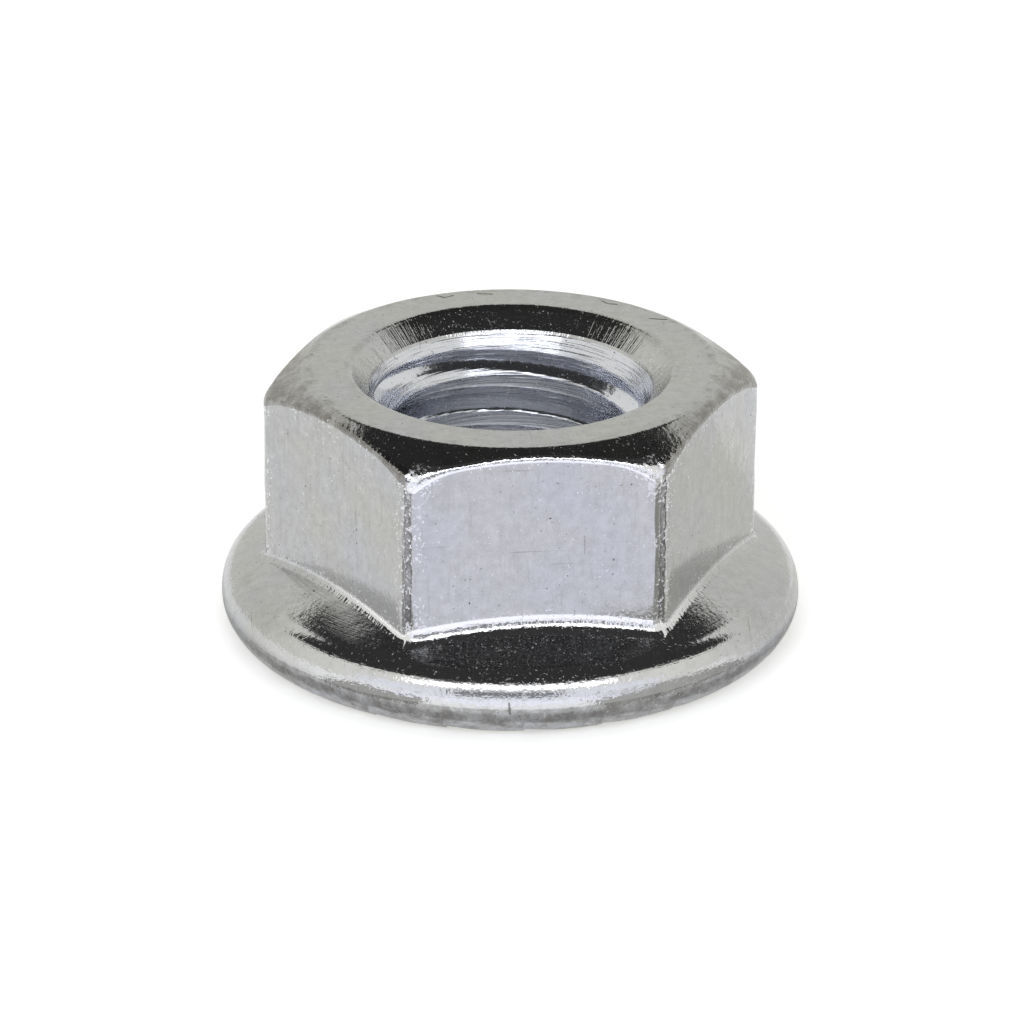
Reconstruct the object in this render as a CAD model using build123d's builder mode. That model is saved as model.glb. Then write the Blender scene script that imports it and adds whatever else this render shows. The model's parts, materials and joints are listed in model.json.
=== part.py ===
from build123d import *
import math
import os

# Serrated flange nut for an M8 screw, cold forged from one slug of steel.
# Millimetres and degrees. The bore's axis is Z, the bearing face rests on Z = 0,
# the wrench end points to +Z, and one flat of the hexagon faces -Y.

# Hexagon
nut_height = 8.0
across_flats = 12.75
across_corners = 14.48      # the forging die leaves the corners short of a sharp hexagon
crown_diameter = 12.3       # flat ring at the wrench end
crown_chamfer = 30.0        # from the plane of the flat ring

# Flange
flange_diameter = 17.1
flange_slope = 20.0         # of the upper face, from the bearing plane
rim_thickness = 1.8         # at the flange diameter, before its edges are rounded
rim_round = 1.04
toe_sweep = 45.0            # part of the lower round, from straight down, that is bevels
toe_bevels = 2
root_fillet = 0.55          # where the hexagon grows out of the flange

# Bore
thread_minor_diameter = 6.9
mouth_diameter = 9.45       # countersink at the wrench end
mouth_angle = 90.0
mouth_round = 0.3
mouth_depth = 0.56          # below this the countersink turns steeper
throat_angle = 62.0
bearing_mouth_diameter = 8.6
bearing_mouth_angle = 90.0

# Ratchet serrations on the bearing face
tooth_count = 23
tooth_depth = 0.3           # at the reach of the teeth
tooth_reach = 8.2           # radius
tooth_crest = 1.2           # width of the flat crest, in degrees round the axis
tooth_draft = 15.0          # lean of the biting face
relief_diameter = 11.0      # plain ring inside the teeth
relief_depth = 0.25

# How far a cutter runs past the surface that it opens
overrun = 1.0

minor_radius = thread_minor_diameter / 2
mouth_radius = mouth_diameter / 2
bearing_mouth_radius = bearing_mouth_diameter / 2
flange_radius = flange_diameter / 2
corner_radius = across_corners / 2
crown_radius = crown_diameter / 2

hexagon_start = rim_thickness / 2   # inside the flange
crown_drop = (corner_radius - crown_radius) * math.tan(math.radians(crown_chamfer))
flange_rise = flange_radius * math.tan(math.radians(flange_slope))
throat_radius = mouth_radius - mouth_depth * math.tan(math.radians(mouth_angle / 2))
throat_depth = (throat_radius - minor_radius) / math.tan(math.radians(throat_angle / 2))
bearing_mouth_depth = (bearing_mouth_radius - minor_radius) / math.tan(math.radians(bearing_mouth_angle / 2))

# Two rounds share the rim, so each one is limited by the rim's wall.
upper_round_share = math.tan(math.radians(45 - flange_slope / 2))
rim_fillet = min(rim_round, 0.99 * rim_thickness / (1 + upper_round_share))

# Corners of the lower rim. Its toe, which the teeth notch, is a few narrow bevels that
# follow the round's curve, and the last corner is the one that the round itself takes off.
toe_step = math.radians(toe_sweep / toe_bevels / 2)
toe_reach = rim_fillet / math.cos(toe_step)
toe_corners = [
    (
        flange_radius - rim_fillet + toe_reach * math.sin((2 * bevel + 1) * toe_step),
        rim_fillet - toe_reach * math.cos((2 * bevel + 1) * toe_step),
    )
    for bevel in range(toe_bevels)
]
rim_corner_rise = rim_fillet * (1 - math.tan(math.radians(45 - toe_sweep / 2)))


# One gap between two teeth. All its faces but the ends lie on lines from the centre
# of the bearing face, so the gap widens and deepens towards the rim.
tooth_pitch = 360 / tooth_count
gap_width = math.tan(math.radians(tooth_pitch - tooth_crest))
gap_depth = tooth_depth / tooth_reach
gap_lean = gap_depth * math.tan(math.radians(tooth_draft))
gap_start = 0.9 * relief_diameter / 2
gap_end = flange_radius + overrun

with BuildPart() as tooth_gap:
    ConvexPolyhedron(
        [
            (distance, side, rise)
            for distance in (gap_start, gap_end)
            for side, rise in (
                (0, -overrun),
                (0, 0),
                (gap_lean * distance, gap_depth * distance),
                (gap_width * distance, 0),
                (gap_width * distance, -overrun),
            )
        ]
    )


with BuildPart() as flange_nut:
    # Hexagon, cut to its corner circle and chamfered at the wrench end. Turned forms are
    # drawn on the YZ plane, which puts their seams on a flat, clear of the corners.
    with BuildSketch(Plane.XY.offset(hexagon_start)):
        RegularPolygon(radius=across_flats / 2, side_count=6, major_radius=False)
    extrude(amount=nut_height - hexagon_start)
    with BuildSketch(Plane.YZ):
        with BuildLine():
            Polyline(
                (0, 0),
                (corner_radius, 0),
                (corner_radius, nut_height - crown_drop),
                (crown_radius, nut_height),
                (0, nut_height),
                close=True,
            )
        make_face()
    revolve(axis=Axis.Z, mode=Mode.INTERSECT)

    # Conical flange with a rounded rim
    with BuildSketch(Plane.YZ) as flange_section:
        with BuildLine():
            Polyline(
                (0, 0),
                *toe_corners,
                (flange_radius, rim_corner_rise),
                (flange_radius, rim_thickness),
                (0, rim_thickness + flange_rise),
                close=True,
            )
        make_face()
        fillet(flange_section.vertices().group_by(Axis.X)[-1], radius=rim_fillet)
    revolve(axis=Axis.Z)

    # Fillet at the foot of the hexagon, where it meets the flange
    fillet(flange_nut.edges(Select.NEW), radius=root_fillet)

    # Bore with a countersink at each end, and the plain ring inside the teeth
    with BuildSketch(Plane.YZ):
        with BuildLine():
            Polyline(
                (0, -overrun),
                (relief_diameter / 2, -overrun),
                (relief_diameter / 2, relief_depth),
                (bearing_mouth_radius, relief_depth),
                (minor_radius, relief_depth + bearing_mouth_depth),
                (minor_radius, nut_height - mouth_depth - throat_depth),
                (throat_radius, nut_height - mouth_depth),
                (mouth_radius, nut_height),
                (mouth_radius, nut_height + overrun),
                (0, nut_height + overrun),
                close=True,
            )
        make_face()
    revolve(axis=Axis.Z, mode=Mode.SUBTRACT)
    mouth_edge = flange_nut.edges().filter_by(GeomType.CIRCLE).group_by(Axis.Z)[-1].sort_by(SortBy.RADIUS)[0]
    fillet(mouth_edge, radius=mouth_round)

    # Ratchet serrations, whose steep faces bite when the nut turns to come loose
    with PolarLocations(radius=0, count=tooth_count):
        add(tooth_gap.part, mode=Mode.SUBTRACT)

flange_nut.part.label = "flange_nut"

os.makedirs("parts", exist_ok=True)
export_step(flange_nut.part, "parts/flange_nut.step")
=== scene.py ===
import json
import math

import bmesh
import bpy
import numpy as np
from mathutils import Matrix, Vector


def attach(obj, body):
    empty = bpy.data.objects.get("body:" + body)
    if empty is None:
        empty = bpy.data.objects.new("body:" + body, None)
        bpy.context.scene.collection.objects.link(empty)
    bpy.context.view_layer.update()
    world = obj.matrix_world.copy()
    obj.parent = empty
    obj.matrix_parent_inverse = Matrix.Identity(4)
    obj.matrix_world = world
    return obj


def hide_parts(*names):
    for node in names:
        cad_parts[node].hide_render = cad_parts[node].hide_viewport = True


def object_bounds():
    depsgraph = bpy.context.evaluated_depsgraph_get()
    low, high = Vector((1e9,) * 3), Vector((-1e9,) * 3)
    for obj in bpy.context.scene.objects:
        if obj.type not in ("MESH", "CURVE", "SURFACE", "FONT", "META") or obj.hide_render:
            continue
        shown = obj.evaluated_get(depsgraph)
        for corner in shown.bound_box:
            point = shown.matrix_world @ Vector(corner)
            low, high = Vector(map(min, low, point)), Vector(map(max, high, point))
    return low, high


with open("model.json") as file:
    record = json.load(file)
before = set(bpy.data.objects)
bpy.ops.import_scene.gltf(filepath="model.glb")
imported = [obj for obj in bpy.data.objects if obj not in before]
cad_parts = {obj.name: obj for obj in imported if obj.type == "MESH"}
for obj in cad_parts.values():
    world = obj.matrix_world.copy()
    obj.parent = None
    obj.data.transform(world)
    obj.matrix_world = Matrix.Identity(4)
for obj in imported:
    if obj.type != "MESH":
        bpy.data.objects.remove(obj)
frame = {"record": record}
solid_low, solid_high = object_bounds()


# ---- The nut's outside: hexagon, flange and bearing face ----
# One slug of low-carbon steel, cold forged in a die that shapes the hexagon, the conical
# flange with its free round rim, and the ratchet teeth that bite into the clamped part.

MM = 0.001                                       # sizes below are in millimetres
camera_azimuth = math.radians(-6.48)             # the nut and the studio are seen from here

thread_mount = next(mount for mount in frame["record"]["mounts"] if mount["name"] == "thread")
nut_height = (solid_high.z - solid_low.z) / MM
flange_radius = (solid_high.x - solid_low.x) / 2 / MM
bore_radius = thread_mount["dims"]["r_mm"]

half_flats = 12.75 / 2
corner_radius = 14.48 / 2
crown_radius = 12.04 / 2                         # the wrench end's edge is rubbed back here
crown_slope = math.tan(math.radians(27.5))
crown_round = 0.45
arc_round = 0.18                                 # where the chamfer runs into each flat
shoulder_round = 0.45                            # and into the corners, wider on the front flat
shoulder_growth = 0.35
shoulder_start = 6.7                             # radius at which an edge starts to widen into it
front_flat_reach = 30.8                          # degrees to each side of the front flat's middle
corner_softness = 0.02

flange_slope = math.radians(20)
flange_seat = 1.8                                # height of the cone at the flange's radius
rim_round = 1.04
root_round = 0.52                                # at the foot of the front flat
side_root_round = 0.24                           # and of the others, where the die was less worn
die_line = 0.014                                 # ridge left at the foot by the die's joint
corner_wander = 0.02                             # of the corners, which the die doesn't touch
rim_wander = 0.016

mouth_radius = 9.45 / 2
mouth_round = 0.3
mouth_step_depth = 0.56                          # the countersink turns steeper below this
mouth_step_slope = math.tan(math.radians(31))
mouth_step_round = 0.12
mouth_join_depth = 0.66                          # from here down the thread's own mesh goes on

relief_radius = 11.0 / 2
relief_depth = 0.25
seat_mouth_radius = 8.6 / 2
seat_join_rise = 0.2                             # above the relief, where the thread's mesh ends

tooth_count = 23
tooth_pitch = 360 / tooth_count
tooth_crest = 1.2                                # degrees round the axis
tooth_face = 0.56                                # degrees that the leaning bite face takes
tooth_rise = 0.3 / 8.2                           # depth of a gap for each millimetre of radius


def soft_min(a, b, softness):
    """The lesser of two radii, rounded over where they cross."""
    return -softness * np.logaddexp(-a / softness, -b / softness)


def soft_max(a, b, softness):
    """The greater of two radii, rounded over where they cross."""
    return softness * np.logaddexp(a / softness, b / softness)


def ripple(angle, counts, seed):
    """A gentle unevenness round the axis, between -1 and 1."""
    phases = np.random.default_rng(seed).uniform(0, 2 * math.pi, len(counts))
    calming = [math.sqrt(place + 1) for place in range(len(counts))]
    waves = [np.sin(count * angle + phase) / calm for count, phase, calm in zip(counts, phases, calming)]
    return sum(waves) / sum(1 / calm for calm in calming)


def straight(start, end, steps):
    """Points on a line of the section, one for each share of its length."""
    return [start + (end - start) * step for step in steps]


def rounded(before, corner, after, radius, steps):
    """The arc that takes a corner off the section, in equal steps, ends included."""
    to_before = before - corner
    to_after = after - corner
    to_before /= np.linalg.norm(to_before, axis=1, keepdims=True)
    to_after /= np.linalg.norm(to_after, axis=1, keepdims=True)
    half = np.arccos(np.sum(to_before * to_after, axis=1, keepdims=True)) / 2
    middle = to_before + to_after
    centre = corner + middle / np.linalg.norm(middle, axis=1, keepdims=True) * radius / np.sin(half)
    first = corner + to_before * radius / np.tan(half) - centre
    last = corner + to_after * radius / np.tan(half) - centre
    turn = math.pi - 2 * half
    shares = np.linspace(0, 1, steps)
    return [
        centre + (np.sin((1 - share) * turn) * first + np.sin(share * turn) * last) / np.sin(turn)
        for share in shares
    ]


def section_angles():
    """Columns of the mesh round the axis: an even spread, closer at the corners and the teeth."""
    near_corner = (0, 0.5, 1.0, 1.4, 1.7, 1.9, 2.1, 2.35, 2.7, 3.2, 4.0, 5.0)
    near_tooth = (-tooth_crest, -0.2, 0, 0.1, tooth_face - 0.1, tooth_face, tooth_face + 0.25)
    least_step, even_step, least_even_step = 0.07, 1.5, 0.55
    marks = [tooth * tooth_pitch + step for tooth in range(tooth_count) for step in near_tooth]
    for corner in range(6):
        for step in near_corner:
            marks += [corner * 60 + step, corner * 60 - step]
    kept = []
    for angle in sorted(mark % 360 for mark in marks):
        if not kept or angle - kept[-1] > least_step:
            kept.append(angle)
    for angle in np.arange(0.4, 360, even_step):
        if min(abs(angle - mark) for mark in kept) > least_even_step:
            kept.append(angle)
    return np.radians(sorted(kept))


angles = section_angles()
columns = len(angles)


def point(radius, height):
    """One row of the mesh: a radius and a height for each column."""
    row = [np.broadcast_to(radius, columns), np.broadcast_to(height, columns)]
    return np.stack(row, axis=1).astype(float)


sixth_turn = math.radians(60)
flat_radius = half_flats / np.cos(np.mod(angles, sixth_turn) - sixth_turn / 2)
side_radius = soft_min(flat_radius, corner_radius, corner_softness)
seat_slope = math.tan(flange_slope)


def flange_height(radius):
    """Top of the flange before its rounds."""
    return flange_seat + (flange_radius - radius) * seat_slope


step_radius = mouth_radius - mouth_step_depth
join_radius = step_radius - (mouth_join_depth - mouth_step_depth) * mouth_step_slope
join = point(join_radius, nut_height - mouth_join_depth)
mouth_step = point(step_radius, nut_height - mouth_step_depth)
mouth = point(mouth_radius, nut_height)
crown = point(crown_radius, nut_height)
arc = point(side_radius, nut_height - (side_radius - crown_radius) * crown_slope)
foot = point(side_radius, flange_height(side_radius))
rim_tangent_radius = flange_radius - rim_round * (1 - math.sin(flange_slope))
rim_tangent = point(rim_tangent_radius, flange_height(rim_tangent_radius))

# Teeth: each gap lies on lines from the centre, steep on its first side and a long ramp after.
round_tooth = np.mod(np.degrees(angles) + 1e-6, tooth_pitch)
bite = np.clip(round_tooth / tooth_face, 0, 1)
ramp = np.clip((tooth_pitch - tooth_crest - round_tooth) / (tooth_pitch - tooth_crest - tooth_face), 0, 1)
gap_slope = tooth_rise * np.minimum(bite, ramp)
toe_turn = np.full(columns, math.radians(60))    # a guess, which each pass brings nearer
for _ in range(30):
    toe_reach = flange_radius - rim_round + rim_round * np.cos(toe_turn)
    toe_turn = np.arcsin(np.clip(1 - gap_slope * toe_reach / rim_round, -1, 1))
toe = point(flange_radius - rim_round + rim_round * np.cos(toe_turn), rim_round * (1 - np.sin(toe_turn)))
relief_edge = point(relief_radius, gap_slope * relief_radius)
relief_corner = point(relief_radius, relief_depth)
seat_mouth = point(seat_mouth_radius, relief_depth)
seat_join = point(seat_mouth_radius - seat_join_rise, relief_depth + seat_join_rise)

# What marks the metal: burnished by the die, with painted highlight added on the side facing
# the camera; ragged where it sheared; sooty with dirt, with painted shade added on the chamfers
# and edges to the sides and on the lower rim; and lined across the section by chatter or round
# the axis where the tool dragged.
mark_names = ("burnish", "ragged", "soot", "chatter", "drag")
section = []                                     # rows of the mesh, each with its marks


def lay(rows, **marks):
    """Adds rows to the section, with how strongly each kind of finish marks them."""
    section.extend((row, marks) for row in rows)


crown_arc = rounded(mouth, crown, arc, crown_round, 7)
corner_share = np.clip((flat_radius - shoulder_start) / (corner_radius - shoulder_start), 0, 1) ** 2
off_front = np.degrees(np.abs(np.mod(angles + math.pi / 2 + math.pi, 2 * math.pi) - math.pi))
front_flat = np.clip(front_flat_reach - off_front, 0, 1)
shoulder = shoulder_round + shoulder_growth * front_flat
edge_round = arc_round + (shoulder - arc_round) * corner_share
edge_arc = rounded(crown, arc, foot, edge_round[:, None], 9)
root_rounds = side_root_round + (root_round - side_root_round) * front_flat
foot_arc = rounded(arc, foot, rim_tangent, root_rounds[:, None], 12)
mouth_arc = rounded(mouth_step, mouth, crown, mouth_round, 8)
lay([join], burnish=0.2, chatter=0.6)
step_arc = rounded(join, mouth_step, mouth, mouth_step_round, 4)
lay(step_arc, burnish=0.2, chatter=1.2, ragged=0.3)
lay(straight(step_arc[-1], mouth_arc[0], (0.15, 0.5)), burnish=0.2, chatter=1.3, ragged=0.6)
lay(straight(step_arc[-1], mouth_arc[0], (0.9,)), burnish=0.1, chatter=0.8, ragged=0.4)
lay(mouth_arc, chatter=0.4, ragged=0.4, soot=0.2)
lay(straight(mouth_arc[-1], crown_arc[0], (0.06, 0.3, 0.55, 0.8)))
lay(straight(mouth_arc[-1], crown_arc[0], (0.95,)), soot=0.3)
outer_rows = len(section)
lay(crown_arc, soot=0.4, ragged=0.2)
lay(straight(crown_arc[-1], edge_arc[0], (0.08, 0.3)), soot=0.8, ragged=0.1)
lay(straight(crown_arc[-1], edge_arc[0], (0.6, 0.8, 0.92)), soot=1.3, ragged=0.2)
lay(edge_arc, burnish=1.0, soot=1.3, ragged=1.0)
face_rows = len(section)
lay(straight(edge_arc[-1], foot_arc[0], (0.008, 0.03, *np.linspace(0.08, 0.92, 13), 0.97, 0.992)))
face_end = len(section)
lay(foot_arc, burnish=1.0, ragged=0.6, chatter=1.0)
cone_rows = len(section)
cone_steps = (0.05, 0.09, 0.13, 0.2, 0.35, 0.5, 0.65, 0.8, 0.93)
lay(straight(foot_arc[-1], rim_tangent, cone_steps), burnish=0.6, ragged=0.1, drag=1.0)
rim_rows = len(section)
rim_centre = flange_radius - rim_round
upper_centre = flange_height(rim_tangent_radius) - rim_round * math.cos(flange_slope)
for share in np.linspace(0, 1, 13):
    turn = (math.pi / 2 - flange_slope) * (1 - share)
    upper_rim = point(rim_centre + rim_round * math.cos(turn), upper_centre + rim_round * math.sin(turn))
    lay([upper_rim], burnish=0.65, ragged=0.1 + 0.8 * share ** 2, soot=0.1, drag=0.5)
# Painted shade: the soot is heaviest on a band of the lower rim, standing in for the floor's contact
# shadow seen in the metal.
for share in np.linspace(0, 1, 14):
    turn = toe_turn * share
    lower_rim = point(rim_centre + rim_round * np.cos(turn), rim_round * (1 - np.sin(turn)))
    lay([lower_rim], burnish=0.3, ragged=0.7, soot=1.1 if 0.12 < share < 0.5 else 0.5)
rim_end = len(section)
lay(straight(toe, relief_edge, (0.03, 0.2, 0.4, 0.6, 0.8, 1.0)), burnish=0.4, ragged=0.4, soot=0.3)
lay(straight(relief_edge, relief_corner, (0.5, 1.0)), burnish=0.2, soot=0.3)
lay(straight(relief_corner, seat_mouth, (0.1, 0.5, 0.9)), burnish=0.1, soot=0.3)
lay(straight(seat_mouth, seat_join, (0.0, 0.3, 0.7, 1.0)), burnish=0.4, chatter=0.6)

profile = np.array([row for row, _ in section])  # rows, columns, (radius, height)
marks = {name: np.repeat([given.get(name, 0.0) for _, given in section], columns) for name in mark_names}

# Painted highlight and shade: the burnish is laid on strongest on the side facing the camera, and the soot
# is thinned there, so the chamfers and edges to the sides stay darker.
front_start, front_fade = 0.5, 0.35              # of how squarely a place looks to the front
least_front_highlight = 0.15
chamfer_shade_fade, edge_shade_fade = 0.85, 0.95
front_share = np.clip((-np.sin(angles - camera_azimuth) - front_start) / front_fade, 0, 1)
front_highlight = np.ones((len(section), columns))
front_highlight[outer_rows:face_rows] = front_flat
front_highlight[face_end:rim_end] = least_front_highlight + (1 - least_front_highlight) * front_share
shade_to_sides = np.ones((len(section), columns))
shade_to_sides[outer_rows:face_rows] = 1 - chamfer_shade_fade * front_share
shade_to_sides[face_rows - len(edge_arc):face_rows] = 1 - edge_shade_fade * front_flat
marks["burnish"] *= front_highlight.ravel()
marks["soot"] *= shade_to_sides.ravel()

# Sheared corner bands and the nicked borders of the faces
band_reach, nicked_reach, nicked_fade = 1.9, 5.0, 3.0      # degrees to each side of a corner
nicked_depth = 0.12                              # share of a face's height
shoulder_nicks = 1.6
off_corner = np.degrees(np.abs(np.mod(angles + sixth_turn / 2, sixth_turn) - sixth_turn / 2))
is_face = np.zeros(len(section))
is_face[face_rows:face_end] = 1
down_face = np.clip((np.arange(len(section)) - face_rows) / (face_end - face_rows - 1), 0, 1)
near_end = np.clip(1 - np.minimum(down_face, 1 - down_face) / nicked_depth, 0, 1)
near_side = np.clip((nicked_reach - off_corner) / nicked_fade, 0, 1)
marks["band"] = np.outer(is_face, np.clip((band_reach - off_corner) / band_reach, 0, 1)).ravel()
on_shoulder = np.zeros(len(section))
on_shoulder[face_rows - len(edge_arc):face_rows + 3] = 1
marks["nicked"] = np.outer(is_face, near_side).ravel()
marks["nicked"] += np.outer(is_face * near_end, np.ones(columns)).ravel()
marks["nicked"] += np.outer(on_shoulder, shoulder_nicks * corner_share * front_flat).ravel()

# The corners are free where the die leaves them short, so their edges wander up and down.
wander_low, wander_high = 2.9, 7.3
for row in range(face_rows, face_end):
    height = profile[row, :, 1]
    fade = np.sin(np.pi * np.clip((height - wander_low) / (wander_high - wander_low), 0, 1)) ** 0.5
    wander = 0.5 * np.sin(height * 2.3 + angles * 3) + 0.3 * np.sin(height * 4.9 + angles * 5 + 1.3)
    free = corner_radius + corner_wander * fade * (wander - 0.6)
    profile[row, :, 0] = np.minimum(side_radius, soft_min(flat_radius, free, corner_softness))

# A fine ridge stands at the foot, and the free rim is a little uneven.
for row, share in zip(range(cone_rows - 5, cone_rows - 2), (0.5, 1.0, 0.2)):
    profile[row, :, 1] += die_line * share * np.clip(0.6 + 1.2 * ripple(angles, (3, 7, 12), 5), 0, 1)
for row in range(rim_rows, rim_end):
    outward = np.sin(np.pi * (row - rim_rows) / (rim_end - rim_rows - 1)) ** 2
    profile[row, :, 0] += outward * rim_wander * (ripple(angles, (2, 5, 9, 16), 11) - 1)

rows = len(section)
vertices = []
for row in range(rows):
    radius, height = profile[row, :, 0], profile[row, :, 1]
    vertices += list(zip(radius * np.cos(angles), radius * np.sin(angles), height))
faces = []
for row in range(rows - 1):
    for column in range(columns):
        beside = (column + 1) % columns
        faces.append((
            row * columns + column,
            row * columns + beside,
            (row + 1) * columns + beside,
            (row + 1) * columns + column,
        ))


# ---- The thread ----
# M8 x 1.25 right-hand thread, tapped through the forging. Its crests are left flat by the
# pierced hole, its roots are rounded by the tap, and both countersinks cut its ends off.

pitch = 1.25
major_radius = 4.0
root_radius = 4.03
flank_slope = 1 / math.tan(math.radians(30))
root_half_width = 0.078
crest_height = 6.12                              # of a crest at the back of the bore
crest_angle = 83.5
root_softness = 0.015
crest_softness = 0.012
mouth_softness = 0.02                            # where a countersink cuts the thread off
rows_a_pitch = 20
thread_columns = 250

thread_top = nut_height - mouth_join_depth
thread_bottom = relief_depth + seat_join_rise


def thread_radius(beyond_root):
    """Radius of the thread's wall at a height beyond the middle of a root."""
    off = np.abs(np.mod(beyond_root + pitch / 2, pitch) - pitch / 2)
    flank = major_radius - (off - root_half_width) * flank_slope
    return soft_max(soft_min(flank, root_radius, root_softness), bore_radius, crest_softness)


def opening_radius(height):
    """Radius of the two countersinks at a height inside the bore."""
    from_top = step_radius - (nut_height - mouth_step_depth - height) * mouth_step_slope
    from_seat = seat_mouth_radius - (height - relief_depth)
    return np.maximum(from_top, from_seat)


# The rows climb with the thread, so that its edges run along them without steps.
turns = math.ceil((thread_top - thread_bottom) / pitch) + 1
row_steps = pitch * np.arange(turns * rows_a_pitch + 1) / rows_a_pitch
first_root = crest_height - pitch / 2 - pitch * crest_angle / 360
first_row = first_root - pitch * math.ceil((first_root - (thread_bottom - pitch)) / pitch)
thread_angles = np.radians(np.arange(thread_columns) * 360 / thread_columns)
climb = pitch * thread_angles / (2 * math.pi)
heights = np.clip(first_row + climb[:, None] + row_steps[None, :], thread_bottom, thread_top)
wall = thread_radius(heights - first_row - climb[:, None])
wall = soft_max(wall, opening_radius(heights), mouth_softness)
wall[:, -1] = join_radius
wall[:, 0] = seat_mouth_radius - seat_join_rise
wall[heights >= thread_top] = join_radius
wall[heights <= thread_bottom] = seat_mouth_radius - seat_join_rise

thread_rows = len(row_steps)
thread_start = len(vertices)
for column in range(thread_columns):
    east, north = math.cos(thread_angles[column]), math.sin(thread_angles[column])
    vertices += [(reach * east, reach * north, z) for reach, z in zip(wall[column], heights[column])]
thread_marks = {"burnish": 0.4, "ragged": 0.1, "drag": 1.0, "bore": 1.0}
marks["bore"] = np.zeros(rows * columns)
for name, strengths in marks.items():
    marks[name] = np.append(strengths, np.full(thread_columns * thread_rows, thread_marks.get(name, 0.0)))


def thread_vertex(column, row):
    """A vertex of the thread's grid, whose last column joins the first one pitch higher."""
    if column == thread_columns:
        column, row = 0, min(row + rows_a_pitch, thread_rows - 1)
    return thread_start + column * thread_rows + row


for column in range(thread_columns):
    for row in range(thread_rows - 1):
        faces.append((
            thread_vertex(column, row),
            thread_vertex(column + 1, row),
            thread_vertex(column + 1, row + 1),
            thread_vertex(column, row + 1),
        ))


def stitched(ring_a, angles_a, ring_b, angles_b):
    """Triangles between two closed rings that have different counts of vertices."""
    made = []
    a = b = 0
    while a < len(ring_a) or b < len(ring_b):
        next_a = angles_a[(a + 1) % len(ring_a)] + (2 * math.pi if a + 1 >= len(ring_a) else 0)
        next_b = angles_b[(b + 1) % len(ring_b)] + (2 * math.pi if b + 1 >= len(ring_b) else 0)
        here_a, here_b = ring_a[a % len(ring_a)], ring_b[b % len(ring_b)]
        if b >= len(ring_b) or (a < len(ring_a) and next_a <= next_b):
            made.append((here_a, ring_a[(a + 1) % len(ring_a)], here_b))
            a += 1
        else:
            made.append((here_a, ring_b[(b + 1) % len(ring_b)], here_b))
            b += 1
    return made


top_ring = [thread_vertex(column, thread_rows - 1) for column in range(thread_columns)]
bottom_ring = [thread_vertex(column, 0) for column in range(thread_columns)]
mouth_ring = list(range(columns))
seat_ring = list(range((rows - 1) * columns, rows * columns))

# Both meshes end on the same circles, so the outside's rows are drawn back to leave room between.
join_widening = 1.004
mouth_lift, seat_drop = 0.025, -0.016
for ring, shift in ((mouth_ring, mouth_lift), (seat_ring, seat_drop)):
    for index in ring:
        x, y, z = vertices[index]
        vertices[index] = (x * join_widening, y * join_widening, z + shift)
faces += stitched(mouth_ring, angles, top_ring, thread_angles)
faces += stitched(seat_ring, angles, bottom_ring, thread_angles)

nut_mesh = bpy.data.meshes.new("forged_nut")
nut_mesh.from_pydata([(x * MM, y * MM, z * MM) for x, y, z in vertices], [], faces)
for name, strengths in marks.items():
    nut_mesh.attributes.new(name, "FLOAT", "POINT").data.foreach_set("value", strengths.astype(np.float32))

weld_distance = 0.0005
sharp_angle = math.radians(35)
shaping = bmesh.new()
shaping.from_mesh(nut_mesh)
bmesh.ops.remove_doubles(shaping, verts=shaping.verts, dist=weld_distance * MM)
bmesh.ops.recalc_face_normals(shaping, faces=shaping.faces)
shaping.to_mesh(nut_mesh)
shaping.free()
nut_mesh.shade_smooth()
nut_mesh.set_sharp_from_angle(angle=sharp_angle)

nut = bpy.data.objects.new("forged_nut", nut_mesh)
bpy.context.scene.collection.objects.link(nut)
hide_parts("flange_nut")
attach(nut, "root")


# ---- Bright zinc plate on forged steel ----
# Electroplated in a barrel with a clear passivate, so it is a pale grey metal, a shade
# cream or blue in places. The die burnished the rounds, the corners are sheared and rough,
# and tumbling against other nuts left nicks, hairlines and dark worn edges. Some of the colour
# is painted light: highlight on the side facing the camera, shade on the chamfers and edges to
# the sides and on the lower rim, and a lighter, bluer bore.

plate_colour = "C7C7C4"
plate_cool = "C4C5CA"
plate_dull = "9E9E9B"
# Partly painted highlight: this bright colour is laid on strongest on the side facing the camera.
burnished_colour = "F8F8FA"
sheared_colour = "B2B2B4"
sheared_dark = "7C7C7E"
# Painted light: the thread in the bore is drawn lighter and bluer than the plate outside.
bore_lightened_colour = "E8EAF1"
# Partly painted shade: this colour darkens the chamfers and edges to the sides and a band of the lower
# rim.
smudge_and_shade_colour = "807C76"
sooty_colour = "54524D"
nick_colour = "F4F4F8"


def linear(hex_colour):
    """A colour written in sRGB hex, as the renderer's linear values."""
    shares = [int(hex_colour[place:place + 2], 16) / 255 for place in (0, 2, 4)]
    curved = [share / 12.92 if share <= 0.04045 else ((share + 0.055) / 1.055) ** 2.4 for share in shares]
    return (*curved, 1)


def add(tree, kind, inputs, output=0, **settings):
    """Adds a node with its settings and links, and gives back one of its outputs."""
    node = tree.nodes.new("ShaderNode" + kind)
    for name, value in settings.items():
        setattr(node, name, value)
    for socket, value in inputs.items():
        if isinstance(value, bpy.types.NodeSocket):
            tree.links.new(value, node.inputs[socket])
        else:
            node.inputs[socket].default_value = value
    return node.outputs[output] if node.outputs else None


zinc = bpy.data.materials.new("bright_zinc_plate")
zinc.use_nodes = True
plate = zinc.node_tree
plate.nodes.clear()

# Where the mesh is marked, by the names of its marks
marked = {name: add(plate, "Attribute", {}, "Fac", attribute_name=name) for name in marks}

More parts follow.
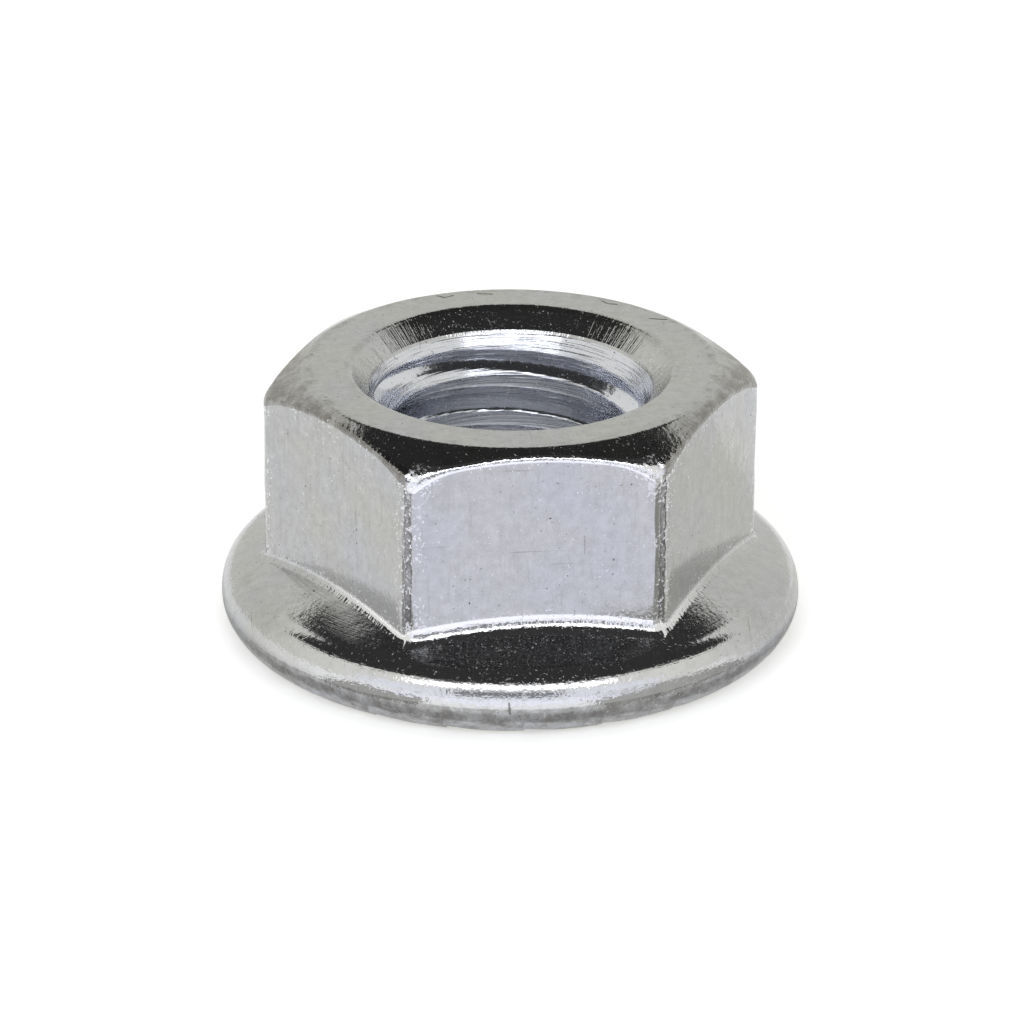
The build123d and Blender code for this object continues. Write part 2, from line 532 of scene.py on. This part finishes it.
place = add(plate, "TexCoord", {}, "Object")
in_mm = add(plate, "VectorMath", {0: place, 1: (MM, MM, MM)}, operation="DIVIDE")
from_axis = add(plate, "VectorMath", {0: in_mm, 1: (1, 1, 0)}, operation="MULTIPLY")
axis_direction = add(plate, "VectorMath", {0: from_axis}, operation="NORMALIZE")
off_axis = add(plate, "VectorMath", {0: from_axis}, "Value", operation="LENGTH")
sideways = add(plate, "SeparateXYZ", {0: in_mm}, "X")
rise = add(plate, "SeparateXYZ", {0: in_mm}, "Z")

# A measure across the section, which grows along the cone, the countersink and the bore alike
out_run, down_run = 0.8, 1.3
out_part = add(plate, "Math", {0: off_axis, 1: out_run}, operation="MULTIPLY")
down_part = add(plate, "Math", {0: rise, 1: down_run}, operation="MULTIPLY")
across_section = add(plate, "Math", {0: out_part, 1: down_part}, operation="SUBTRACT")
turned_radius = 7                                # where lengths round the axis are true


def grain(size, detail=2.0, stretch=(1, 1, 1), roughness=0.5):
    """Noise whose spots are about this many millimetres across."""
    scales = [share / size for share in stretch]
    scaled = add(plate, "VectorMath", {0: in_mm, 1: scales}, operation="MULTIPLY")
    pattern = {"Vector": scaled, "Scale": 1.0, "Detail": detail, "Roughness": roughness}
    return add(plate, "TexNoise", pattern)


def turned(around, across, detail):
    """Noise whose spots are so many millimetres long round the axis and so wide across."""
    scales = (turned_radius / around, turned_radius / around, 0)
    circle = add(plate, "VectorMath", {0: axis_direction, 1: scales}, operation="MULTIPLY")
    step = add(plate, "Math", {0: across_section, 1: across}, operation="DIVIDE")
    lift = add(plate, "CombineXYZ", {"Z": step})
    spot = add(plate, "VectorMath", {0: circle, 1: lift}, operation="ADD")
    return add(plate, "TexNoise", {"Vector": spot, "Scale": 1.0, "Detail": detail})


# Unevenness of the surface, for its relief. The sheared metal's own grain is under 0.05 mm,
# too fine to show, so it is drawn at 0.13 mm.
fine = add(plate, "Math", {0: grain(0.13), 1: 0.5}, operation="SUBTRACT")
chatter_lines = add(plate, "Math", {0: turned(0.09, 1.2, 1.0), 1: 0.5}, operation="SUBTRACT")
drag_lines = add(plate, "Math", {0: turned(5.0, 0.045, 2.0), 1: 0.5}, operation="SUBTRACT")
waves = grain(0.5, 3.0)
dents = grain(1.7, 1.0)

# Map Range takes a value, the range it comes from and the range it goes to, 0 to 1 if unsaid.

# Pits, which keep passivate and dirt in specks 0.05 to 0.2 mm across
patches = add(plate, "MapRange", {0: grain(1.3), 1: 0.4, 2: 0.6})
specks = add(plate, "MapRange", {0: grain(0.12, 3.0), 1: 0.69, 2: 0.74})
pits = add(plate, "Math", {0: specks, 1: patches}, operation="MULTIPLY")

# Worn edges and painted shade: grey-brown smudges of many sizes up to 0.5 mm, laid where the soot mark
# lies, which is partly painted shade on the side chamfers, edges and lower rim
sootier = add(plate, "Math", {0: marked["soot"], 1: 0.2}, operation="MULTIPLY")
smudge_and_shade_form = add(plate, "Math", {0: grain(0.5, 5.0, roughness=0.75), 1: sootier}, operation="ADD")
smudge_and_shade_spots = add(plate, "MapRange", {0: smudge_and_shade_form, 1: 0.52, 2: 0.82})
smudge_and_shade_reach = add(plate, "MapRange", {0: marked["soot"], 1: 0.0, 2: 0.3})
smudges_and_shade = add(plate, "Math", {0: smudge_and_shade_spots, 1: smudge_and_shade_reach}, operation="MULTIPLY")

# Hairlines: scratches up to 2 mm long in two directions. Real ones are 0.01 mm wide, too fine
# to show, so they are drawn wider.
upright_lines = add(plate, "MapRange", {0: grain(0.1, 1.0, (1, 0.05, 0.05)), 1: 0.75, 2: 0.79})
level_lines = add(plate, "MapRange", {0: grain(0.1, 1.0, (0.05, 0.6, 1)), 1: 0.75, 2: 0.79})
hairlines = add(plate, "Math", {0: upright_lines, 1: level_lines}, operation="MAXIMUM")

# Nicks: bright burrs under 0.1 mm, thickest along the borders of the faces
nick_level = add(plate, "MapRange", {0: marked["nicked"], 1: 0.0, 2: 1.6, 3: 0.69, 4: 0.53})
nick_form = add(plate, "Math", {0: grain(0.09), 1: nick_level}, operation="SUBTRACT")
nick_spots = add(plate, "MapRange", {0: nick_form, 1: 0.0, 2: 0.02})
nick_groups = add(plate, "MapRange", {0: grain(0.9), 1: 0.36, 2: 0.5})
nicks = add(plate, "Math", {0: nick_spots, 1: nick_groups}, operation="MULTIPLY")

# Laps on the ring's outer edge, where the metal folded over, and one knock on the rim
lap_width, lap_edge, lap_fraying = 0.03, 0.03, 0.06
laps = 0.0
for start, end in (
    ((-1.62, 5.62, 8.0), (-1.42, 5.45, 8.0)),
    ((-1.42, 5.45, 8.0), (-1.15, 5.6, 8.0)),
    ((-0.4, 5.68, 8.0), (0.02, 5.6, 8.0)),
    ((3.25, 4.72, 8.0), (3.4, 4.52, 8.0)),
    ((3.4, 4.52, 8.0), (3.66, 4.42, 8.0)),
    ((4.5, 3.2, 8.0), (4.98, 3.08, 8.0)),
    ((-0.97, -8.47, 1.25), (-0.94, -8.49, 0.86)),
):
    run = Vector(end) - Vector(start)
    from_start = add(plate, "VectorMath", {0: in_mm, 1: start}, operation="SUBTRACT")
    measure = {0: from_start, 1: run / run.length_squared}
    along = add(plate, "VectorMath", measure, "Value", operation="DOT_PRODUCT")
    share = add(plate, "MapRange", {0: along, 1: 0.0, 2: 1.0})
    nearest = add(plate, "VectorMath", {0: share, 1: run}, operation="MULTIPLY")
    aside = add(plate, "VectorMath", {0: from_start, 1: nearest}, operation="SUBTRACT")
    off_lap = add(plate, "VectorMath", {0: aside}, "Value", operation="LENGTH")
    fraying = add(plate, "Math", {0: fine, 1: lap_fraying}, operation="MULTIPLY")
    frayed = add(plate, "Math", {0: off_lap, 1: fraying}, operation="ADD")
    lap_reach = {0: frayed, 1: lap_width / 2, 2: lap_width / 2 + lap_edge, 3: 1.0, 4: 0.0}
    lap = add(plate, "MapRange", lap_reach)
    laps = add(plate, "Math", {0: laps, 1: lap}, operation="MAXIMUM")

# The sheared corner bands, darker along their ragged edges
band_fraying = add(plate, "Math", {0: grain(0.35, 4.0), 1: 0.9}, operation="MULTIPLY")
band_form = add(plate, "Math", {0: marked["band"], 1: band_fraying}, operation="ADD")
sheared = add(plate, "MapRange", {0: band_form, 1: 0.95, 2: 1.15})
band_start = add(plate, "MapRange", {0: band_form, 1: 0.98, 2: 1.04})
band_end = add(plate, "MapRange", {0: band_form, 1: 1.1, 2: 1.25, 3: 1.0, 4: 0.0})
band_edges = add(plate, "Math", {0: band_start, 1: band_end}, operation="MULTIPLY")

# Clouds of cooler plate, its mottled crystals and faint upright streaks. Crystals of zinc
# are thousandths of a millimetre, too fine to show, so they are drawn from 0.35 mm down.
clouds = add(plate, "MapRange", {0: grain(2.4, 3.0), 1: 0.35, 2: 0.65})
mottle = grain(0.35, 6.0, roughness=0.85)
duller = add(plate, "MapRange", {0: mottle, 1: 0.35, 2: 0.65})
face_streaks = add(plate, "MapRange", {0: grain(0.12, 2.0, (1, 1, 0.12)), 1: 0.55, 2: 0.75})

# Frosted specks, thickest across the front and back, and few beside them and in the bore
frost_specks = add(plate, "MapRange", {0: grain(0.09, 3.0, roughness=0.6), 1: 0.57, 2: 0.67})
frost_patches = add(plate, "MapRange", {0: grain(1.1, 3.0), 1: 0.35, 2: 0.6, 3: 0.6, 4: 1.0})
frost_outside = add(plate, "MapRange", {0: marked["bore"], 1: 0.0, 2: 1.0, 3: 1.0, 4: 0.3})
off_middle = add(plate, "Math", {0: sideways}, operation="ABSOLUTE")
frost_middle = add(plate, "MapRange", {0: off_middle, 1: 2.2, 2: 4.2, 3: 1.0, 4: 0.12})
frosted = frost_specks
for limit in (frost_patches, frost_outside, frost_middle):
    frosted = add(plate, "Math", {0: frosted, 1: limit}, operation="MULTIPLY")

# Colour, from the plate up: each layer covers what lies under it by its form and strength.
paler_shear = add(plate, "MapRange", {0: mottle, 1: 0.4, 2: 0.6})
shears = {0: paler_shear, 6: linear(sheared_dark), 7: linear(sheared_colour)}
shear = add(plate, "Mix", shears, 2, data_type="RGBA")
smudged_and_shaded = add(plate, "Math", {0: smudges_and_shade, 1: band_edges}, operation="MAXIMUM")
sooted = add(plate, "Math", {0: pits, 1: laps}, operation="MAXIMUM")
colour = linear(plate_colour)
for form, strength, layer in (
    (clouds, 1.0, linear(plate_cool)),
    (duller, 0.5, linear(plate_dull)),
    (face_streaks, 0.3, linear(plate_dull)),
    (marked["burnish"], 1.0, linear(burnished_colour)),
    (marked["bore"], 1.0, linear(bore_lightened_colour)),
    (sheared, 1.0, shear),
    (smudged_and_shaded, 0.8, linear(smudge_and_shade_colour)),
    (sooted, 0.7, linear(sooty_colour)),
    (hairlines, 0.3, linear(sooty_colour)),
    (nicks, 1.0, linear(nick_colour)),
):
    share = add(plate, "Math", {0: form, 1: strength}, operation="MULTIPLY")
    colour = add(plate, "Mix", {0: share, 6: colour, 7: layer}, 2, data_type="RGBA")

# Roughness: bright plate is nearly a mirror, and its crystals and damage spread what it shows.
roughness = add(plate, "MapRange", {0: mottle, 1: 0.3, 2: 0.7, 3: 0.07, 4: 0.17})
for form, added in (
    (marked["burnish"], -0.05),
    (pits, 0.25),
    (nicks, 0.3),
    (sheared, 0.15),
    (marked["bore"], 0.05),
    (frosted, 0.28),
):
    more = add(plate, "Math", {0: form, 1: added}, operation="MULTIPLY")
    roughness = add(plate, "Math", {0: roughness, 1: more}, operation="ADD")

# Relief, in millimetres
fine_depth = add(plate, "MapRange", {0: marked["ragged"], 1: 0.0, 2: 1.0, 3: 0.002, 4: 0.022})
drag_depth = add(plate, "MapRange", {0: marked["bore"], 1: 0.0, 2: 1.0, 3: 0.004, 4: 0.016})
chattered = add(plate, "Math", {0: chatter_lines, 1: marked["chatter"]}, operation="MULTIPLY")
dragged = add(plate, "Math", {0: drag_lines, 1: marked["drag"]}, operation="MULTIPLY")
relief = 0.0
for form, depth in (
    (fine, fine_depth),
    (waves, 0.006),
    (dents, 0.012),
    (pits, -0.012),
    (laps, -0.012),
    (sheared, -0.006),
    (chattered, 0.016),
    (dragged, drag_depth),
):
    raised = add(plate, "Math", {0: form, 1: depth}, operation="MULTIPLY")
    relief = add(plate, "Math", {0: relief, 1: raised}, operation="ADD")
bumped = add(plate, "Bump", {"Strength": 1.0, "Distance": MM, "Height": relief})

metal = add(plate, "BsdfPrincipled", {
    "Metallic": 1.0,
    "Base Color": colour,
    "Roughness": roughness,
    "Normal": bumped,
})
add(plate, "OutputMaterial", {"Surface": metal})
nut_mesh.materials.append(zinc)


# ---- Floor and studio ----
# A pale tabletop in a cream light tent, with a cool softbox over the front and a dark
# opening above. The cards only show in the metal, so no view is blocked by them.

turn_studio = Matrix.Rotation(camera_azimuth, 4, "Z")
white = "FFFFFF"
table_colour = "FFFFFB"
tent_colour = "FFFFFA"
cool_wall_colour = "F4F6FF"
cool_paper_colour = "F2F3FF"
cool_fill_colour = "E6EAFF"


def studio_ray(tree):
    """1 for what the camera sees straight or in metal and glass, 0 for what lights the scene."""
    seen = 0.0
    for ray in ("Is Camera Ray", "Is Glossy Ray", "Is Transmission Ray"):
        of_this_ray = add(tree, "LightPath", {}, ray)
        seen = add(tree, "Math", {0: seen, 1: of_this_ray}, operation="MAXIMUM")
    return seen


def stage_card(name, corners):
    """A flat card through these corners, and its material's empty nodes."""
    mesh = bpy.data.meshes.new(name)
    places = [turn_studio @ Vector(corner) * MM for corner in corners]
    mesh.from_pydata(places, [], [range(len(corners))])
    card = bpy.data.objects.new(name, mesh)
    bpy.context.scene.collection.objects.link(card)
    material = bpy.data.materials.new(name)
    material.use_nodes = True
    material.node_tree.nodes.clear()
    mesh.materials.append(material)
    return card, material.node_tree


def reflected_card(name, corners, colour, strength):
    """A card that only shows in the metal."""
    card, tree = stage_card(name, corners)
    shine = add(tree, "Emission", {"Color": linear(colour), "Strength": strength})
    add(tree, "OutputMaterial", {"Surface": shine})
    for hidden in ("visible_camera", "visible_diffuse", "visible_shadow", "visible_transmission"):
        setattr(card, hidden, False)


floor_colour = "E8E8E6"
floor_reach = 4000
tabletop = stage_card("floor", [
    (-floor_reach, -floor_reach, 0), (floor_reach, -floor_reach, 0),
    (floor_reach, floor_reach, 0), (-floor_reach, floor_reach, 0),
])[1]
paper = add(tabletop, "BsdfDiffuse", {"Color": linear(floor_colour)})

# The floor's own glow, seen straight or in the metal. The camera sees it even; in the metal it is a
# painted shadow, dimmed in a ring beside the nut, with a fainter painted glow under the nut.
shaded_reach, fading_start, fading_end = 8.6, 8.8, 11.5
glow_under, glow_beside, glow_straight = 0.2, 0.35, 0.5
on_table = add(tabletop, "TexCoord", {}, "Object")
off_nut = add(tabletop, "VectorMath", {0: on_table}, "Value", operation="LENGTH")
fading = {0: off_nut, 1: fading_start * MM, 2: fading_end * MM, 3: 0.0, 4: glow_beside}
painted_shadow_ring = add(tabletop, "MapRange", fading, interpolation_type="SMOOTHSTEP")
painted_underglow = add(tabletop, "Math", {0: off_nut, 1: shaded_reach * MM}, operation="LESS_THAN")
painted_contact_shade = add(tabletop, "Math", {0: painted_underglow, 1: glow_under, 2: painted_shadow_ring}, operation="MULTIPLY_ADD")
straight_seen = add(tabletop, "LightPath", {}, "Is Camera Ray")
glow_share = add(tabletop, "Mix", {0: straight_seen, 2: painted_contact_shade, 3: glow_straight}, data_type="FLOAT")
seen_glow = add(tabletop, "Math", {0: studio_ray(tabletop), 1: glow_share}, operation="MULTIPLY")
glow = add(tabletop, "Emission", {"Color": linear(table_colour), "Strength": seen_glow})
glowing_paper = add(tabletop, "AddShader", {0: paper, 1: glow})
add(tabletop, "OutputMaterial", {"Surface": glowing_paper})

# Dark opening in the top of the tent
reflected_card("tent_opening", [
    (-140, -250, 300), (140, -245, 300), (250, -165, 300), (360, -60, 300), (455, 10, 300),
    (455, 140, 300), (190, 150, 300), (175, 300, 300), (-165, 300, 300), (-190, 145, 300),
    (-430, 140, 300), (-415, -30, 300), (-335, -115, 300), (-215, -200, 300),
], white, strength=0.034)
# Cool front wall, with the dark hood that the camera looks through
reflected_card("front_wall", [
    (-700, -420, 15), (700, -420, 15), (700, -420, 225), (-700, -420, 225),
], cool_wall_colour, strength=0.95)
reflected_card("camera_hood", [
    (-170, -410, 75), (150, -410, 75), (150, -410, 205), (-170, -410, 205),
], cool_wall_colour, strength=0.26)
# Cards on the table, seen only in the metal: the bright front paper lights the foot of each flat and the
# flange, and the dimmer cards beside the nut are a painted shadow of the nut on the table
reflected_card("front_paper", [
    (-60, -140, 0.5), (60, -140, 0.5), (9, -11, 0.5), (-9, -11, 0.5),
], cool_paper_colour, strength=1.15)
reflected_card("right_table_shade", [
    (3.2, -8.7, 0.4), (124, -380, 0.4), (353, -188, 0.4), (8.1, -4.7, 0.4), (6.1, -7.1, 0.4),
], table_colour, strength=0.42)
reflected_card("left_table_shade", [
    (-3.2, -8.9, 0.4), (-6.7, -6.7, 0.4), (-12, -12, 0.4), (-5.8, -16, 0.4),
], table_colour, strength=0.4)
reflected_card("grey_table_shade", [
    (9, -5, 0.5), (26, -5, 0.5), (26, 14, 0.5), (9, 4, 0.5),
], table_colour, strength=0.78)

# Cream walls of the tent, a white backdrop for the camera, and less light than they seem to give
tent_shine, tent_light = 0.765, 0.4
world = bpy.data.worlds.new("cream_tent")
world.use_nodes = True
tent = world.node_tree
tent.nodes.clear()
walls = add(tent, "Background", {"Color": linear(tent_colour), "Strength": tent_shine})
backdrop = add(tent, "Background", {"Color": linear(white), "Strength": 1.0})
fill = add(tent, "Background", {"Color": linear(tent_colour), "Strength": tent_light})
indoors = add(tent, "MixShader", {0: studio_ray(tent), 1: fill, 2: walls})
from_camera = add(tent, "LightPath", {}, "Is Camera Ray")
around = add(tent, "MixShader", {0: from_camera, 1: indoors, 2: backdrop})
add(tent, "OutputWorld", {"Surface": around})
bpy.context.scene.world = world


def softbox(name, position, size, colour, radiance, glossy):
    """A lamp of this size in millimetres that shines at the nut with this radiance."""
    lamp = bpy.data.lights.new(name, "AREA")
    lamp.shape = "RECTANGLE"
    lamp.size, lamp.size_y = size[0] * MM, size[1] * MM
    lamp.energy = radiance * math.pi * lamp.size * lamp.size_y
    lamp.color = linear(colour)[:3]
    box = bpy.data.objects.new(name, lamp)
    box.location = turn_studio @ Vector(position) * MM
    box.rotation_euler = (-box.location).to_track_quat("-Z", "Y").to_euler()
    box.visible_camera = False
    box.visible_glossy = glossy
    bpy.context.scene.collection.objects.link(box)


softbox("front_softbox", (0, -300, 262), (560, 75), cool_wall_colour, radiance=2.2, glossy=True)
softbox("front_fill", (-40, -300, 300), (300, 300), cool_fill_colour, radiance=1.9, glossy=False)
softbox("top_softbox", (0, 60, 420), (260, 260), white, radiance=1.2, glossy=False)


# ---- Camera ----
# Level with the work, a little above it, through a long lens.

camera_elevation = math.radians(24.19)
camera_distance = 150.05
camera_roll = math.radians(0.40)
focal_in_frame_widths = 5089.5 / 1020
sensor_width = 36
aim_side = -0.0185
aim_height = 3.385

lens = bpy.data.cameras.new("camera")
lens.sensor_fit = "HORIZONTAL"
lens.sensor_width = sensor_width
lens.lens = sensor_width * focal_in_frame_widths
lens.clip_start = 1 * MM
lens.clip_end = 10000 * MM
camera = bpy.data.objects.new("camera", lens)
bpy.context.scene.collection.objects.link(camera)
right = Vector((math.cos(camera_azimuth), math.sin(camera_azimuth), 0))
away = Vector((-math.sin(camera_azimuth), math.cos(camera_azimuth), 0))
back = -away * math.cos(camera_elevation) + Vector((0, 0, 1)) * math.sin(camera_elevation)
up = away * math.sin(camera_elevation) + Vector((0, 0, 1)) * math.cos(camera_elevation)
aim = right * aim_side + Vector((0, 0, aim_height))
rolled_right = right * math.cos(camera_roll) + up * math.sin(camera_roll)
rolled_up = up * math.cos(camera_roll) - right * math.sin(camera_roll)
camera.matrix_world = Matrix.Translation((aim + back * camera_distance) * MM) @ Matrix(
    (rolled_right, rolled_up, back)
).transposed().to_4x4()
bpy.context.scene.camera = camera
bpy.context.scene.view_settings.view_transform = "Standard"
